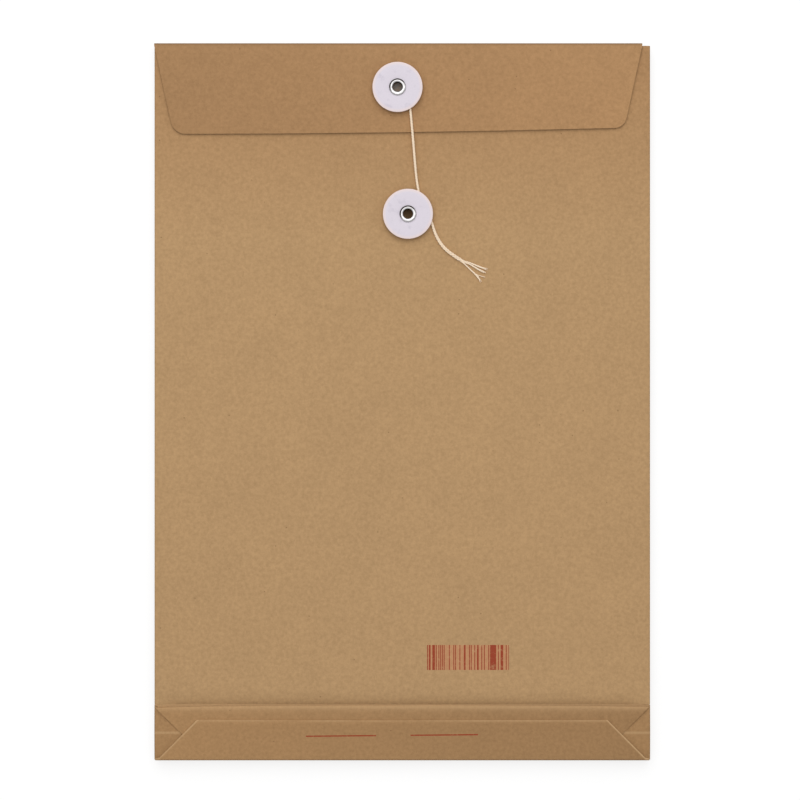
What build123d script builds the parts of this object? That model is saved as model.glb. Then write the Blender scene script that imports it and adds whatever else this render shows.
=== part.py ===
from build123d import *
import os
from math import atan2, degrees, radians, tan

# The bag lies on its back: X across, Y towards the mouth, Z up out of the front face.
# The origin is under the middle of the bag, on the surface that it lies on. Sizes in millimetres.

# Bag
bag_width = 238.0
bag_length = 344.0
paper = 0.4
pouch_gap = 5.2
mouth_step = 1.2            # the front panel ends this far below the fold of the flap

# Glued seam along the back
seam_x = 0.0
seam_lap = 16.0
seam_climb = 2.0            # length of the step where one half climbs over the other
seam_clearance = 0.3        # from the edge of the outer half to the step

# Side gussets
gusset_depth = 11.8         # from the side edge to where the two plies meet
edge_inside = 0.2           # inside radius of the folds along the side edges

# Block bottom, folded flat on the front
block_height = 26.4
block_fold_gap = 0.6        # between the two plies at the upper fold of the block
crease_gap = 0.1            # between the two plies at the crease where the front wall turns back
bottom_inside = 1.1         # inside radius of the folds along the bottom edge
bottom_stub = 2.0           # flat length of the lower flap before the bottom fold
upper_flap_reach = 20.0
upper_flap_inset = 0.5      # from the side edge to the upper flap's end, at its fold
lower_flap_reach = 19.4
lower_flap_inset = 1.2      # from the side edge to the lower flap's end, at its fold
tuck_inside = 0.6           # inside radius where a tuck turns down at the side edge
tuck_clearance = 0.15
lift_clearance = 0.3        # from the block's upper fold to the crease where the front panel lifts

# Closing flap
flap_inset_left = 0.0
flap_inset_right = 3.9
flap_depth_left = 43.6
flap_depth_right = 40.6
flap_edge_bow = 0.7         # how far the free edge bows out at its middle
flap_taper_left = 9.4
flap_taper_right = 8.6
flap_corner_left = 6.7
flap_corner_right = 5.8
clinch_clearance = 0.3      # from the front panel up to the eyelet clinched under the flap

# Washers and eyelets
washer_diameter = 24.0
washer_thickness = 0.9
washer_clearance = 0.28     # from the string up to the washer over it
flap_washer_x = -2.3
flap_washer_drop = 21.4     # below the fold of the flap
body_washer_x = 2.7
body_washer_drop = 82.0     # below the fold of the flap
eyelet_bore = 4.8
eyelet_wall = 0.3
flange_diameter = 8.0
flange_height = 0.6
clinch_diameter = 7.6
clinch_height = 0.5
eyelet_fit = 0.05           # round the barrel, in the paper and in the washer
washer_play = 0.05          # between a washer and the flange over it

# String
string_diameter = 1.2
string_sides = 8
string_clearance = 0.12     # from the string to the paper under it
turn_gap = 0.45             # between neighbouring turns
barrel_gap = 0.1            # between the first turn and the eyelet
quarter_turns = 5
tie_heading = 5.5           # degrees that the string leaves its turns to the right of straight down
strand_diameter = 0.36
strand_sides = 6
strand_spacing = 0.4

# Levels and lines worked out from the sizes above
fold_y = bag_length / 2
bottom_y = -bag_length / 2
mouth_y = fold_y - mouth_step
block_top_y = bottom_y + block_height
crease_y = bottom_y + block_height / 2
lift_y = block_top_y + lift_clearance
bottom_bend = bottom_inside + paper / 2
back_end_y = bottom_y + paper / 2 + bottom_bend + bottom_stub
edge_x = bag_width / 2
edge_bend = edge_inside + paper / 2
edge_fold = edge_bend + paper / 2
front_under = paper + pouch_gap
front_top = front_under + paper
middle_z = front_top / 2
crease_bend = (paper + crease_gap) / 2
upper_bend = (paper + block_fold_gap) / 2
turned_back_z = front_top - paper / 2 + 2 * crease_bend
upper_flap_z = turned_back_z + 2 * upper_bend
lower_flap_z = upper_flap_z + paper
block_top = lower_flap_z + paper / 2
flap_under = front_top + clinch_clearance + clinch_height
flap_top = flap_under + paper
barrel_radius = eyelet_bore / 2 + eyelet_wall
string_radius = string_diameter / 2
string_rise = string_clearance + string_radius
washer_stand = string_clearance + string_diameter + washer_clearance
flap_washer_y = fold_y - flap_washer_drop
body_washer_y = fold_y - body_washer_drop
flap_string_z = flap_top + string_rise
body_string_z = front_top + string_rise


def along_x(profile, start, end):
    """Solid of a (Y, Z) profile between two X positions."""
    return extrude(Plane.YZ.offset(start) * profile, end - start)


def along_y(profile, start, end):
    """Solid of an (X, Z) profile between two Y positions."""
    return extrude(Plane.XZ.offset(-start) * profile, end - start, dir=(0, 1, 0))


def column(outline):
    """An (X, Y) outline carried up through every layer of the bag."""
    return extrude(make_face(outline), block_top + paper)


def ribbon(*edges):
    """Paper seen edge on, following a mid-ply line."""
    return trace(Curve() + list(edges), line_width=paper)


def barrel_hole(x, y):
    """Cutter for the hole that an eyelet barrel goes through."""
    return Pos(x, y, 0) * extrude(Circle(barrel_radius + eyelet_fit), flap_top + paper)


def back_halves():
    """The two halves of the back, mitred at the mouth, one lapped over the other inside the bag."""
    side = edge_x - edge_fold
    step_x = seam_x + seam_clearance
    left = ribbon(Line((-side, 0), (seam_x, 0)))
    right = ribbon(Polyline((side, 0), (step_x + seam_climb, 0), (step_x, paper), (seam_x - seam_lap, paper)))
    corner = make_face(Polyline((fold_y, 0), (fold_y, fold_y), (0, fold_y), close=True))
    mitre = along_x(corner, -edge_x, edge_x)
    return [along_y(Pos(0, paper / 2) * half, back_end_y, fold_y) - mitre for half in (left, right)]


def gusset_plies():
    """Right gusset: the back ply as long as the back, the front ply as long as the lifting panel."""
    rise = middle_z - 2 * edge_bend - paper / 2
    slope = degrees(atan2(rise, gusset_depth - edge_fold))
    bend = JernArc((edge_x - edge_fold, paper / 2), (1, 0), edge_bend, 180 - slope)
    ply = PolarLine(bend @ 1, gusset_depth + edge_fold, direction=bend % 1)
    lower_half = Pos(0, 0, middle_z / 2) * Box(bag_width, bag_length, middle_z)
    back = along_y(ribbon(bend, ply), back_end_y, mouth_y) & lower_half
    front = along_y(ribbon(bend, ply), lift_y, mouth_y) & lower_half
    return back, mirror(front, Plane.XY.offset(middle_z))


def front_panel():
    """The front wall above the block bottom, with the eyelet's hole."""
    side = edge_x - edge_fold
    outline = Polyline((-side, lift_y), (side, lift_y), (side, mouth_y), (-side, mouth_y), close=True)
    panel = Pos(0, 0, front_under) * extrude(make_face(outline), paper)
    return panel - barrel_hole(body_washer_x, body_washer_y)


def bottom_upper_flap():
    """The front wall's end: down to the crease, back up on itself, and over into the upper flap."""
    stub = Line((lift_y, front_top - paper / 2), (crease_y + crease_bend, front_top - paper / 2))
    crease = JernArc(stub @ 1, stub % 1, crease_bend, -180)
    turned_back = Line(crease @ 1, (block_top_y - paper / 2 - upper_bend, turned_back_z))
    fold = JernArc(turned_back @ 1, turned_back % 1, upper_bend, 180)
    flap = Line(fold @ 1, (block_top_y - upper_flap_reach, upper_flap_z))
    sheet = along_x(ribbon(stub, crease, turned_back, fold, flap), -edge_x, edge_x)
    wide = edge_x - upper_flap_inset
    narrow = wide - block_height
    top = (wide + lift_clearance, lift_y)
    foot = (narrow, bottom_y)
    ends = Polyline(top, foot, (-foot[0], foot[1]), (-top[0], top[1]), close=True)
    return sheet & column(ends)


def bottom_lower_flap():
    """The back wall's end: full width round the bottom edge, then mitred over the upper flap."""
    line = FilletPolyline(
        (back_end_y, paper / 2),
        (bottom_y + paper / 2, paper / 2),
        (bottom_y + paper / 2, lower_flap_z),
        (bottom_y + lower_flap_reach, lower_flap_z),
        radius=bottom_bend,
    )
    sheet = along_x(ribbon(line), -edge_x, edge_x)
    wide = edge_x - lower_flap_inset
    top_y = bottom_y + lower_flap_reach
    narrow = wide - lower_flap_reach
    ends = Polyline((-wide, bottom_y), (wide, bottom_y), (narrow, top_y), (-narrow, top_y), close=True)
    inside_tucks = 2 * (edge_x - paper - tuck_clearance)
    turn = Pos(0, bottom_y, 0) * Box(inside_tucks, 2 * lower_flap_reach, front_top)
    return sheet & (column(ends) + turn)


def corner_tuck():
    """Right end of the gusset: mitred to the upper flap, under the lower one, turned down at the side."""
    apex_x = edge_x - upper_flap_inset - block_height / 2 + tuck_clearance
    line = FilletPolyline(
        (apex_x - paper, turned_back_z),
        (edge_x - paper / 2, turned_back_z),
        (edge_x - paper / 2, 2 * edge_fold + tuck_clearance),
        radius=tuck_inside + paper / 2,
    )
    sheet = along_y(ribbon(line), bottom_y, block_top_y)
    corner_x = edge_x - upper_flap_inset + tuck_clearance
    wall_end_x = edge_x - lower_flap_inset + tuck_clearance
    wall_y = bottom_y + paper + tuck_clearance
    outline = Polyline(
        (edge_x, block_top_y),
        (corner_x, block_top_y),
        (apex_x, crease_y),
        (apex_x, wall_y),
        (wall_end_x, wall_y),
        (wall_end_x, bottom_y),
        (edge_x, bottom_y),
        close=True,
    )
    return sheet & column(outline)


def flap_spine():
    """The strip between the two creases, mitred to the back and to the flap."""
    inner_y = fold_y - paper
    profile = Polyline((fold_y, 0), (fold_y, flap_top), (inner_y, flap_under), (inner_y, paper), close=True)
    return along_x(make_face(profile), flap_inset_left - edge_x, edge_x - flap_inset_right)


def top_flap():
    """The closing flap: tapered sides, two rounded corners and a slightly bowed free edge."""
    top_left = (flap_inset_left - edge_x, fold_y)
    top_right = (edge_x - flap_inset_right, fold_y)
    low_left = (top_left[0] + flap_taper_left, fold_y - flap_depth_left)
    low_right = (top_right[0] - flap_taper_right, fold_y - flap_depth_right)
    middle_depth = (flap_depth_left + flap_depth_right) / 2 + flap_edge_bow
    low_middle = ((low_left[0] + low_right[0]) / 2, fold_y - middle_depth)
    free_edge = ThreePointArc(low_left, low_middle, low_right)
    sides = [Line(top_left, low_left), Line(low_right, top_right), Line(top_right, top_left)]
    outline = make_face(sides + [free_edge])
    outline = fillet(outline.vertices().sort_by_distance(low_left)[0], flap_corner_left)
    outline = fillet(outline.vertices().sort_by_distance(low_right)[0], flap_corner_right)
    sheet = Pos(0, 0, flap_under) * extrude(outline, paper)
    inner_y = fold_y - paper
    mitre = make_face(Polyline((fold_y, flap_top), (fold_y, flap_under), (inner_y, flap_under), close=True))
    return sheet - along_x(mitre, -edge_x, edge_x) - barrel_hole(flap_washer_x, flap_washer_y)


def washer(x, y, paper_top):
    """Card disc, free to turn on its eyelet."""
    ring = Circle(washer_diameter / 2) - Circle(barrel_radius + eyelet_fit)
    return Pos(x, y, paper_top + washer_stand) * extrude(ring, washer_thickness)


def eyelet(x, y, paper_top):
    """Rolled eyelet: domed flange over the washer, barrel, and a roll clinched under the paper."""
    bore = eyelet_bore / 2
    flange = flange_diameter / 2
    clinch = clinch_diameter / 2
    seat = paper_top + washer_stand + washer_thickness + washer_play
    under = paper_top - paper
    throat = Line((bore, under - clinch_height / 2), (bore, seat + flange_height / 2))
    dome = ThreePointArc(throat @ 1, ((bore + flange) / 2, seat + flange_height), (flange, seat))
    shank = Polyline((flange, seat), (barrel_radius, seat), (barrel_radius, under), (clinch, under))
    roll = ThreePointArc((clinch, under), ((bore + clinch) / 2, under - clinch_height), throat @ 0)
    profile = make_face([throat, dome, shank, roll])
    return Pos(x, y, 0) * revolve(Plane.XZ * profile, Axis.Z)


def string_turns():
    """Mid-line of the turns round the flap eyelet: quarter arcs whose radius grows at a steady rate."""
    first = barrel_radius + barrel_gap + string_radius
    growth = (string_diameter + turn_gap) / 4
    centre = Vector(0, 0)
    arcs = []
    for turn in range(quarter_turns):
        radius = first + turn * growth
        angle = 90 - 90 * turn
        arcs.append(CenterArc(centre, radius, angle, -90))
        outward = Vector(1, 0).rotate(Axis.Z, angle - 90)
        centre -= outward * growth
    place = Pos(flap_washer_x, flap_washer_y, flap_string_z) * Rot(0, 0, tie_heading)
    return place * Wire(arcs)


def rounded_radii(points):
    """Largest round corner that the two runs at each point of a route leave room for."""
    radii = []
    for before, here, after in zip(points, points[1:], points[2:]):
        run_in = here - before
        run_out = after - here
        turn = radians(run_in.get_angle(run_out))
        radii.append(0.45 * min(run_in.length, run_out.length) / tan(turn / 2))
    return radii


def tube(name, path, diameter, sides):
    """Cord along a path, with its volume compared with section times length."""
    section = Plane(origin=path @ 0, z_dir=path % 0) * RegularPolygon(diameter / 2, sides)
    cord = sweep(section, path=path)
    plain = section.area * path.length
    print(f"{name}: length {path.length:.2f}, volume {cord.volume:.3f}, section x length {plain:.3f}")
    return cord


def routed_tube(name, points, diameter, sides):
    """Cord through route points, straight runs joined by the largest arcs that fit."""
    radii = rounded_radii(points)
    print(f"{name}: radii", [round(radius, 1) for radius in radii])
    return tube(name, FilletPolyline(*points, radius=radii), diameter, sides)


def turn_spacing(path):
    """Least gap between the turns of a winding, measured on points along it."""
    steps = 200
    points = [path @ (step / steps) for step in range(steps + 1)]
    apart = steps // 3
    pairs = [(a, b) for a in range(steps + 1) for b in range(a + apart, steps + 1)]
    return min((points[a] - points[b]).length for a, b in pairs) - string_diameter


turns = string_turns()
print(f"string_tie: least gap between turns {turn_spacing(turns):.2f}")

# The string from its turns, over the flap's edge, behind the body washer and out to its end
string_route = [
    turns @ 1,
    Vector(4.8, 130.2, flap_string_z + 0.1),
    Vector(7.8, 101.0, body_string_z),
    Vector(10.9, 93.2, body_string_z),
    Vector(14.0, 86.6, body_string_z),
    Vector(15.6, 80.8, body_string_z),
    Vector(18.8, 75.0, body_string_z),
    Vector(23.1, 71.0, body_string_z),
    Vector(27.9, 68.0, body_string_z),
]
end_heading = (string_route[-1] - string_route[-2]).normalized()
end_side = Vector(0, 0, 1).cross(end_heading)
strand_z = front_top + string_clearance + strand_diameter / 2
strand_routes = {
    "string_strand_upper": [(33.4, 65.4, strand_z), (37.0, 64.8, strand_z), (40.7, 63.5, strand_z)],
    "string_strand_middle": [(32.9, 64.7, strand_z), (36.5, 63.6, strand_z), (39.8, 62.1, strand_z)],
    "string_strand_lower": [(32.1, 64.3, strand_z), (35.3, 61.6, strand_z), (37.6, 57.9, strand_z)],
}

back_left, back_right = back_halves()
gusset_back, gusset_front = gusset_plies()
tuck = corner_tuck()

parts = {
    "back_panel_left": back_left,
    "back_panel_right": back_right,
    "front_panel": front_panel(),
    "gusset_right_back_ply": gusset_back,
    "gusset_right_front_ply": gusset_front,
    "gusset_left_back_ply": mirror(gusset_back, Plane.YZ),
    "gusset_left_front_ply": mirror(gusset_front, Plane.YZ),
    "bottom_upper_flap": bottom_upper_flap(),
    "bottom_lower_flap": bottom_lower_flap(),
    "corner_tuck_right": tuck,
    "corner_tuck_left": mirror(tuck, Plane.YZ),
    "flap_spine": flap_spine(),
    "top_flap": top_flap(),
    "flap_washer": washer(flap_washer_x, flap_washer_y, flap_top),
    "body_washer": washer(body_washer_x, body_washer_y, front_top),
    "flap_eyelet": eyelet(flap_washer_x, flap_washer_y, flap_top),
    "body_eyelet": eyelet(body_washer_x, body_washer_y, front_top),
    "string_tie": tube("string_tie", turns, string_diameter, string_sides),
    "string_run": routed_tube("string_run", string_route, string_diameter, string_sides),
}
for place, (name, route) in zip((1, 0, -1), strand_routes.items()):
    start = string_route[-1] + end_side * strand_spacing * place
    lead = start + end_heading * 2 + Vector(0, 0, strand_z - body_string_z) / 2
    points = [start, lead] + [Vector(*point) for point in route]
    parts[name] = routed_tube(name, points, strand_diameter, strand_sides)

os.makedirs("parts", exist_ok=True)
for name, shape in parts.items():
    export_step(shape, f"parts/{name}.step")
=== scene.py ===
from math import asin, ceil, cos, hypot, pi, radians, sin, tan

import bmesh
import bpy
import numpy as np
from bpy.props import FloatProperty, FloatVectorProperty, IntProperty, PointerProperty
from mathutils import Matrix, Vector


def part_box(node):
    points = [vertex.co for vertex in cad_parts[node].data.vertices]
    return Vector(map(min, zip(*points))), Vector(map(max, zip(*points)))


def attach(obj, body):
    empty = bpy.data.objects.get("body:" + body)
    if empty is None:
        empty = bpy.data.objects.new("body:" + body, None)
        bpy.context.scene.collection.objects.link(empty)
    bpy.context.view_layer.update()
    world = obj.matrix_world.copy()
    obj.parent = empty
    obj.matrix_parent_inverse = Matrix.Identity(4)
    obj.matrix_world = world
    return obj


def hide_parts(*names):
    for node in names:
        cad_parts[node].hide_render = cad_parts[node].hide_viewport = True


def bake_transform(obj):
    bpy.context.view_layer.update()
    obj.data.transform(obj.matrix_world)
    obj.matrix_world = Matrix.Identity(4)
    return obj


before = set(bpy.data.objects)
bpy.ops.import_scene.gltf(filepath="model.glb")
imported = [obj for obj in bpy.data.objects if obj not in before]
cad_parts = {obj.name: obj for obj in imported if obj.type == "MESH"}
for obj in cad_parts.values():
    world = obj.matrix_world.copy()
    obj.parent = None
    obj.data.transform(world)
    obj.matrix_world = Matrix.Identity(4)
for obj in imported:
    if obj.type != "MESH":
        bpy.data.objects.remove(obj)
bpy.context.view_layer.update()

bl_info = {
    "name": "String Tie Envelope",
    "version": (1, 0, 0),
    "blender": (4, 5, 0),
    "location": "View3D > Sidebar > Envelope",
    "description": "Kraft document envelope with card washers, rolled eyelets and a cotton string",
    "category": "Object",
}

MM = 0.001
AXIS_X = Vector((1, 0, 0))
AXIS_Y = Vector((0, 1, 0))
AXIS_Z = Vector((0, 0, 1))
# Places nearer than this are one place, in metres
TOUCH = 1e-6
# Faces that meet at less than these angles are shaded as one surface
PAPER_SMOOTHING = radians(35)
CARD_SMOOTHING = radians(40)
METAL_SMOOTHING = radians(50)


def low(node):
    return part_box(node)[0]


def high(node):
    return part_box(node)[1]


def middle(node):
    return (low(node) + high(node)) / 2


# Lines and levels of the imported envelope, in metres: levels are those of the middle of a sheet
PAPER = high("front_panel").z - low("front_panel").z
EDGE_X = high("gusset_right_back_ply").x
FOLD_Y = high("flap_spine").y
MOUTH_Y = high("front_panel").y
LIFT_Y = low("front_panel").y
BLOCK_TOP_Y = high("corner_tuck_right").y
BLOCK_CREASE_Y = middle("corner_tuck_right").y
BOTTOM_Y = low("bottom_lower_flap").y
BACK_END_Y = low("back_panel_left").y
BACK_Z = middle("back_panel_left").z
FRONT_Z = middle("front_panel").z
FLAP_Z = middle("top_flap").z
UPPER_Z = high("bottom_upper_flap").z - PAPER / 2
LOWER_Z = high("bottom_lower_flap").z - PAPER / 2
TUCK_Z = high("corner_tuck_right").z - PAPER / 2
FLAP_LEFT_X = low("flap_spine").x
FLAP_RIGHT_X = high("flap_spine").x
# Flat strip of a gusset beside its shoulder, where the front's sheet ends
GUSSET_STRIP = 0.4 * MM

# Route of the string after its turns, in millimetres
STRING_ROUTE = [
    (4.8, 130.2, 8.02),
    (7.2, 100.6, 6.72),
    (10.9, 93.2, 6.72),
    (14.0, 86.6, 6.72),
    (15.6, 80.8, 6.72),
    (18.8, 75.0, 6.72),
    (23.1, 71.0, 6.72),
    (27.9, 68.0, 6.72),
]
STRAND_Z = 6.30
STRAND_ROUTES = {
    "string_strand_upper": [(31.8, 66.9), (34.6, 65.7), (37.4, 64.6), (40.9, 63.3)],
    "string_strand_middle": [(32.0, 66.1), (34.2, 64.9), (37.0, 63.1), (40.0, 61.8)],
    "string_strand_lower": [(31.3, 64.7), (33.4, 62.6), (36.4, 60.0), (37.9, 57.4)],
}
STRAY_ROUTES = {"string_strand_lower": [(33.9, 62.2), (35.5, 61.0), (37.2, 60.4), (39.7, 59.7)]}


def paint(red, green, blue):
    """A display colour, 0 to 255, as the linear colour that a shader takes."""
    shares = [value / 255 for value in (red, green, blue)]
    return tuple(share / 12.92 if share < 0.04045 else ((share + 0.055) / 1.055) ** 2.4 for share in shares)


def length(name, description, default):
    return FloatProperty(name=name, description=description, default=default, unit="LENGTH", precision=5)


def angle(name, description, default):
    return FloatProperty(name=name, description=description, default=radians(default), subtype="ANGLE")


def colour(name, description, *default):
    return FloatVectorProperty(
        name=name, description=description, default=paint(*default), subtype="COLOR", min=0, max=1
    )


def share(name, description, default):
    return FloatProperty(name=name, description=description, default=default, min=0, max=1, subtype="FACTOR")


# A pair of shares for painted shading, lighter at one end of a sheet and darker at the other
def shading(name, description, left, right):
    return FloatVectorProperty(
        name=name, description=description, default=(left, right), size=2, min=0, max=2
    )


def count(name, description, default):
    return IntProperty(name=name, description=description, default=default)


class EnvelopePaper(bpy.types.PropertyGroup):
    """Folds, unevenness and colours of the kraft paper."""

    cell: length("Cell", "Distance between the cuts that let a sheet wave", 6 * MM)
    wave_height: length("Wave height", "How far a sheet sinks at its broad waves", 0.35 * MM)
    wave_width: length("Wave width", "Size of the broad waves", 80 * MM)
    ripple_height: length("Ripple height", "How far a sheet sinks at its ripples", 0.09 * MM)
    ripple_width: length("Ripple width", "Size of the ripples", 22 * MM)
    held_margin: length("Held margin", "Distance from the outline over which the waves die out", 22 * MM)
    shoulder_radius: length("Shoulder radius", "Soft rounding beside the side edges", 6 * MM)
    shoulder_angle: angle("Shoulder angle", "How far the shoulder turns down before the edge", 13)
    edge_radius: length("Edge radius", "Fold along a side edge", 0.5 * MM)
    gusset_depth: length("Gusset depth", "Length of one gusset ply", 11.7 * MM)
    crease_radius: length("Crease radius", "Inner crease of a gusset", 0.25 * MM)
    dip_depth: length("Dip depth", "How far the front sinks beside the block bottom", 1.35 * MM)
    dip_length: length("Dip length", "Distance over which the front sinks", 7.4 * MM)
    seam_lap: length("Seam lap", "Overlap of the back halves", 16 * MM)
    seam_climb: length("Seam climb", "Step of one back half over the other", 2 * MM)
    cloud_size: length("Cloud size", "Size of the paper's cloudy patches", 26 * MM)
    pulp_size: length("Pulp size", "Size of the clots of pulp", 1.6 * MM)
    fibre_size: length("Fibre size", "Thickness of the fibres that show", 0.55 * MM)
    fleck_spacing: length("Fleck spacing", "Size of the cells that may hold a dark fleck", 5.5 * MM)
    front_tone: colour("Front", "Kraft of the front, back and gussets", 185, 149, 106)
    # The flap's and the block's tones are the front's kraft made darker as painted shade
    flap_shaded_tone: colour("Flap", "Kraft of the closing flap", 174, 134, 92)
    block_shaded_tone: colour("Block bottom", "Kraft of the folded bottom", 168, 130, 88)
    # Painted shading: the flap darker at its left end and lighter at its right, the block the other way round
    flap_shading: shading("Flap fade", "Share of the flap's tone at its left and right ends", 0.91, 1.07)
    block_shading: shading("Block fade", "Share of the block's tone at its left and right ends", 1.06, 0.89)
    mouth_shade: length("Mouth shade", "Distance over which the front takes on the flap's tone", 93 * MM)
    # Paler fibres of rubbed folds and edges, also used there as a painted highlight
    worn_and_highlight_tone: colour("Worn", "Paler fibres where a fold or an edge is rubbed", 206, 170, 126)
    edge_tone: colour("Cut edge", "Paler core that shows at a cut edge", 196, 160, 121)
    fleck_tone: colour("Fleck", "Dark specks in the kraft", 104, 74, 45)


class EnvelopeFlap(bpy.types.PropertyGroup):
    """Outline of the closing flap."""

    fold_radius: length("Fold radius", "Rounding of the two creases of the flap", 0.9 * MM)
    depth_left: length("Left depth", "From the fold to the left corner", 43.6 * MM)
    depth_right: length("Right depth", "From the fold to the right corner", 40.6 * MM)
    taper_left: length("Left taper", "How far the left side leans in", 9.4 * MM)
    taper_right: length("Right taper", "How far the right side leans in", 8.6 * MM)
    corner_left: length("Left corner", "Radius of the left corner", 6.7 * MM)
    corner_right: length("Right corner", "Radius of the right corner", 5.8 * MM)
    edge_bow: length("Edge bow", "How far the free edge bows out", 0.7 * MM)


class EnvelopeBlock(bpy.types.PropertyGroup):
    """Folds of the block bottom."""

    upper_inset: length("Upper inset", "From the side edge to the upper flap's end, at its fold", 0.2 * MM)
    upper_reach: length("Upper reach", "Length of the upper flap", 20 * MM)
    lower_inset: length("Lower inset", "From the side edge to the lower flap's end, at its fold", 1.2 * MM)
    lower_ear: length("Lower ear", "Length over which the lower flap widens to its fold", 0.4 * MM)
    edge_swell: length("Edge swell", "Height of the swelling behind the lower flap's glued edge", 0.3 * MM)
    shoulder_radius: length("Shoulder radius", "Soft rounding below the block's upper fold", 4 * MM)
    shoulder_angle: angle("Shoulder angle", "How far that rounding turns", 25)
    crease_radius: length("Crease radius", "Crease where the front wall turns back", 0.25 * MM)
    bottom_radius: length("Bottom radius", "Folds along the bottom edge", 0.8 * MM)
    tuck_radius: length("Tuck radius", "Fold of a tuck at the side edge", 0.8 * MM)
    tuck_ridge: length("Tuck ridge", "Height of the crease across a tuck", 0.45 * MM)
    fold_bow_left: length("Left fold bow", "How much lower the upper fold is at its left end", 1.2 * MM)
    fold_bow_right: length("Right fold bow", "How much lower the upper fold is at its right end", 0.7 * MM)
    edge_wander: length("Edge wander", "How far the folds stray from a straight line", 0.5 * MM)
    wander_width: length("Wander width", "Size of those strays", 45 * MM)


class EnvelopeWashers(bpy.types.PropertyGroup):
    """Shape and colours of the card washers."""

    rim_radius: length("Rim radius", "Rounding of the outer edge", 0.22 * MM)
    sides: count("Sides", "Steps round a washer", 96)
    seat_radius: length("Seat radius", "Radius of the part pressed down by the eyelet", 4.9 * MM)
    seat_depth: length("Seat depth", "How far the card is pressed down", 0.07 * MM)
    card_tone: colour("Card", "Face of the card", 228, 220, 230)
    rim_tone: colour("Rim", "Warmer tint towards the edge", 240, 222, 219)
    smudge_tone: colour("Smudge", "Faint handling marks", 210, 202, 214)


class EnvelopeEyelets(bpy.types.PropertyGroup):
    """Shape and colour of the rolled eyelets."""

    bore: length("Bore", "Diameter of the hole", 4.8 * MM)
    wall: length("Wall", "Thickness of the barrel", 0.3 * MM)
    roll_height: length("Roll height", "Height of the rolled flange", 0.6 * MM)
    clinch_diameter: length("Clinch diameter", "Width of the roll under the paper", 7.6 * MM)
    clinch_height: length("Clinch height", "Height of the roll under the paper", 0.5 * MM)
    sides: count("Sides", "Steps round the eyelet", 72)
    metal_tone: colour("Metal", "Bright plated metal", 196, 194, 195)
    tarnish_tone: colour("Tarnish", "Duller patches of the plating", 160, 158, 156)
    # Painted shade in the bore and a painted dark reflection near the flange's outer edge
    painted_shade_tone: colour("Grime", "Dark film in the bore and under the roll", 52, 47, 44)


class EnvelopeString(bpy.types.PropertyGroup):
    """Turns, plies and colours of the cotton string."""

    diameter: length("Diameter", "Thickness of the string", 1.2 * MM)
    turn_gap: length("Turn gap", "Gap between neighbouring turns", 0.45 * MM)
    barrel_gap: length("Barrel gap", "Gap between the first turn and the eyelet", 0.1 * MM)
    quarter_turns: count("Quarter turns", "Quarter turns round the eyelet", 5)
    heading: angle("Heading", "Right of straight down, where the string leaves its turns", 5.5)
    plies: count("Plies", "Yarns twisted into the string", 3)
    lay: length("Lay", "Length of one twist", 4.2 * MM)
    step: length("Step", "Distance between points along a yarn", 0.3 * MM)
    loosening: length("Loosening", "How far the yarns part, sideways, towards the frayed end", 0.3 * MM)
    loose_length: length("Loose length", "Length of string over which they part", 32 * MM)
    strand_spacing: length("Strand spacing", "Distance between the strands where they start", 0.4 * MM)
    strand_lead: length("Strand lead", "Length over which a strand drops to the paper", 2 * MM)
    filaments: count("Filaments", "Fibres in a frayed strand", 9)
    filament_radius: length("Filament radius", "Thickness of a fibre", 0.12 * MM)
    strand_radius: length("Strand radius", "Distance of the fibres from the middle of a strand", 0.2 * MM)
    fray: length("Fray", "How far the fibres spread at the end", 0.3 * MM)
    cotton_tone: colour("Cotton", "Unbleached cotton", 255, 241, 217)
    shade_tone: colour("Shade", "Cotton between the fibres", 249, 218, 185)


class EnvelopePrint(bpy.types.PropertyGroup):
    """Plain printed marks: a block of bars on the front and a rule on the block bottom."""

    bars_left: length("Bars left", "Left end of the bars", 11.9 * MM)
    bars_right: length("Bars right", "Right end of the bars", 51.2 * MM)
    bars_low: length("Bars low", "Lower end of the bars", -128.8 * MM)
    bars_high: length("Bars high", "Upper end of the bars", -116.8 * MM)
    bar_width: length("Bar width", "Width of the thinnest bar", 0.42 * MM)
    blanks: share("Blanks", "Share of the block that stays without a bar", 0.56)
    wash: share("Wash", "Thin ink between the bars", 0.36)
    rule_left: length("Rule left", "Left end of the rule", -46.2 * MM)
    rule_right: length("Rule right", "Right end of the rule", 36.3 * MM)
    gap_left: length("Gap left", "Left end of the gap in the rule", -12.6 * MM)
    gap_right: length("Gap right", "Right end of the gap in the rule", 3.9 * MM)
    rule_y: length("Rule height", "Place of the rule's middle", -159.9 * MM)
    rule_width: length("Rule width", "Thickness of the rule", 0.62 * MM)
    rule_rise: FloatProperty(name="Rule rise", description="Rise of the rule for its run", default=0.0095)
    ink_tone: colour("Ink", "Red printing ink", 152, 56, 32)
    wash_tone: colour("Wash tone", "Red of the thin ink between the bars", 206, 122, 86)
    ink_cover: share("Ink cover", "How well the ink hides the paper", 0.95)


class EnvelopeStage(bpy.types.PropertyGroup):
    """Camera, floor and light."""

    view_width: length("View width", "Width of the picture at the front's level", 384 * MM)
    view_x: length("View X", "Middle of the picture, across", -1.1 * MM)
    view_y: length("View Y", "Middle of the picture, along", 0.8 * MM)
    lens: FloatProperty(name="Lens", description="Focal length", default=100, unit="CAMERA")
    floor_size: length("Floor size", "Side of the floor", 8.0)
    floor_gap: length("Floor gap", "Gap between the floor and the back of the bag", 0.2 * MM)
    floor_tone: colour("Floor", "Pale floor", 150, 150, 150)
    floor_glow: share("Floor glow", "White added to the floor as the camera sees it", 0.75)
    ambient: share("Ambient", "Even light from all round", 0.47)
    key_power: FloatProperty(
        name="Key power", description="Soft light from beyond the closing flap", default=24.2, unit="POWER"
    )
    key_size: length("Key size", "Side of the soft light", 2.2)
    key_x: length("Key X", "Place of the soft light, across", -0.1)
    key_y: length("Key Y", "Place of the soft light, along", 0.88)
    key_z: length("Key Z", "Height of the soft light", 1.6)


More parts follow.
